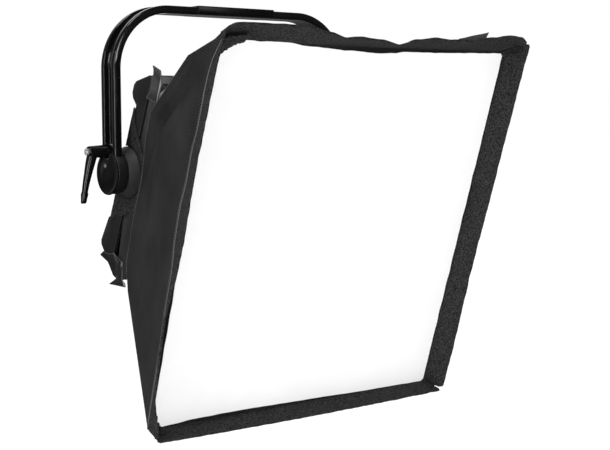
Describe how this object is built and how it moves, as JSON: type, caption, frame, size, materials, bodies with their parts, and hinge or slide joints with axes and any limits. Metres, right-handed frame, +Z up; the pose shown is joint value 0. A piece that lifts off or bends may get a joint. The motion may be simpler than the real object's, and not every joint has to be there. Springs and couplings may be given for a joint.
{
  "type": "softbox lamp head on a yoke",
  "caption": "Rectangular panel lamp hung in a U-shaped yoke, with a flared fabric softbox and white front cloth strapped to its front.",
  "frame": {"origin": "centre of the flat mounting face on top of the yoke's sleeve", "axes": "+Z up out of the mounting face, X along the tilt axis with the clamp lever at -X, the lamp looks towards -Y and tilts down"},
  "size_m": [0.648, 0.5741, 0.7201],
  "materials": {
    "yoke_black": "satin black paint",
    "boss_grey": "fine matt grain",
    "hub_grey": "fine matt grain",
    "steel": "turned",
    "chrome": "bright",
    "lever_plastic": "moulded, semi-gloss",
    "housing_black": "matt black paint",
    "plate_grey": "matt dark grey paint",
    "frame_grey": "matt dark grey paint",
    "bracket_grey": "matt grey paint",
    "board_white": "satin",
    "opal": "opal",
    "display_glass": "gloss",
    "black_fabric": "twill",
    "loop_tape": "loop pile",
    "white_cloth": "smooth weave",
    "rod_black": "glass fibre rod",
    "webbing": "webbing"
  },
  "bodies": {
    "yoke": {"yoke_bar": "yoke_black", "yoke_arm_left": "yoke_black", "yoke_arm_right": "yoke_black", "top_sleeve": "yoke_black", "hub_drum_left": "boss_grey", "hub_drum_right": "boss_grey", "hub_cap_left": "hub_grey", "hub_cap_right": "hub_grey", "hub_cap_screw_left": "steel", "hub_cap_screw_right": "steel", "tilt_axle_left": "steel", "tilt_axle_right": "steel", "friction_washer_left": "steel", "friction_washer_right": "steel", "lever_collar": "steel"},
    "clamp_stud": {"lever_insert": "steel", "lever_screw": "chrome"},
    "clamp_lever": {"lever_handle": "lever_plastic"},
    "head": {"rear_housing": "housing_black", "light_box": "housing_black", "side_plate_left": "plate_grey", "side_plate_right": "plate_grey", "front_frame": "frame_grey", "tilt_boss_left": "boss_grey", "tilt_boss_right": "boss_grey", "corner_bracket_tl": "bracket_grey", "corner_bracket_tr": "bracket_grey", "corner_bracket_bl": "bracket_grey", "corner_bracket_br": "bracket_grey", "heat_sink": "housing_black", "led_board": "board_white", "opal_panel": "opal", "control_panel": "housing_black", "display_window": "display_glass", "power_inlet": "lever_plastic", "data_port_in": "steel", "data_port_out": "steel", "corner_clip_left": "steel", "corner_clip_right": "steel", "panel_left": "black_fabric", "panel_right": "black_fabric", "panel_top": "black_fabric", "panel_bottom": "black_fabric", "lip_left": "loop_tape", "lip_right": "loop_tape", "lip_top": "loop_tape", "lip_bottom": "loop_tape", "front_diffuser": "white_cloth", "corner_rod_tl": "rod_black", "corner_rod_tr": "rod_black", "corner_rod_bl": "rod_black", "corner_rod_br": "rod_black", "side_flap_left": "loop_tape", "side_flap_right": "loop_tape", "pull_tab": "webbing"},
    "menu_knob": {"menu_knob": "lever_plastic"},
    "dimmer_knob": {"dimmer_knob": "lever_plastic"},
    "button_1": {"button_1": "lever_plastic"},
    "button_2": {"button_2": "lever_plastic"},
    "button_3": {"button_3": "lever_plastic"}
  },
  "joints": [
    {"name": "tilt", "type": "hinge", "parent": "yoke", "child": "head", "pos_m": [0, 0, -0.2973], "axis": [1, 0, 0], "range_deg": [-36, 65.5]},
    {"name": "lever_turn", "type": "hinge", "parent": "yoke", "child": "clamp_stud", "pos_m": [-0.262, 0, -0.258], "axis": [1, 0, 0], "range_deg": [-20, 180]},
    {"name": "lever_lift", "type": "slide", "parent": "clamp_stud", "child": "clamp_lever", "axis": [-1, 0, 0], "range_m": [0, 0.004], "stiffness_N_per_m": 400, "springref_m": -0.003},
    {"name": "menu_knob_turn", "type": "hinge", "parent": "head", "child": "menu_knob", "pos_m": [0.022, 0.10175, -0.39929], "axis": [0, 0.91, 0.4147], "continuous": true},
    {"name": "dimmer_knob_turn", "type": "hinge", "parent": "head", "child": "dimmer_knob", "pos_m": [0.06, 0.10175, -0.39929], "axis": [0, 0.91, 0.4147], "continuous": true},
    {"name": "button_1_press", "type": "slide", "parent": "head", "child": "button_1", "axis": [0, -0.91, -0.4147], "range_m": [0, 0.0015], "stiffness_N_per_m": 600, "springref_m": -0.0005},
    {"name": "button_2_press", "type": "slide", "parent": "head", "child": "button_2", "axis": [0, -0.91, -0.4147], "range_m": [0, 0.0015], "stiffness_N_per_m": 600, "springref_m": -0.0005},
    {"name": "button_3_press", "type": "slide", "parent": "head", "child": "button_3", "axis": [0, -0.91, -0.4147], "range_m": [0, 0.0015], "stiffness_N_per_m": 600, "springref_m": -0.0005}
  ]
}
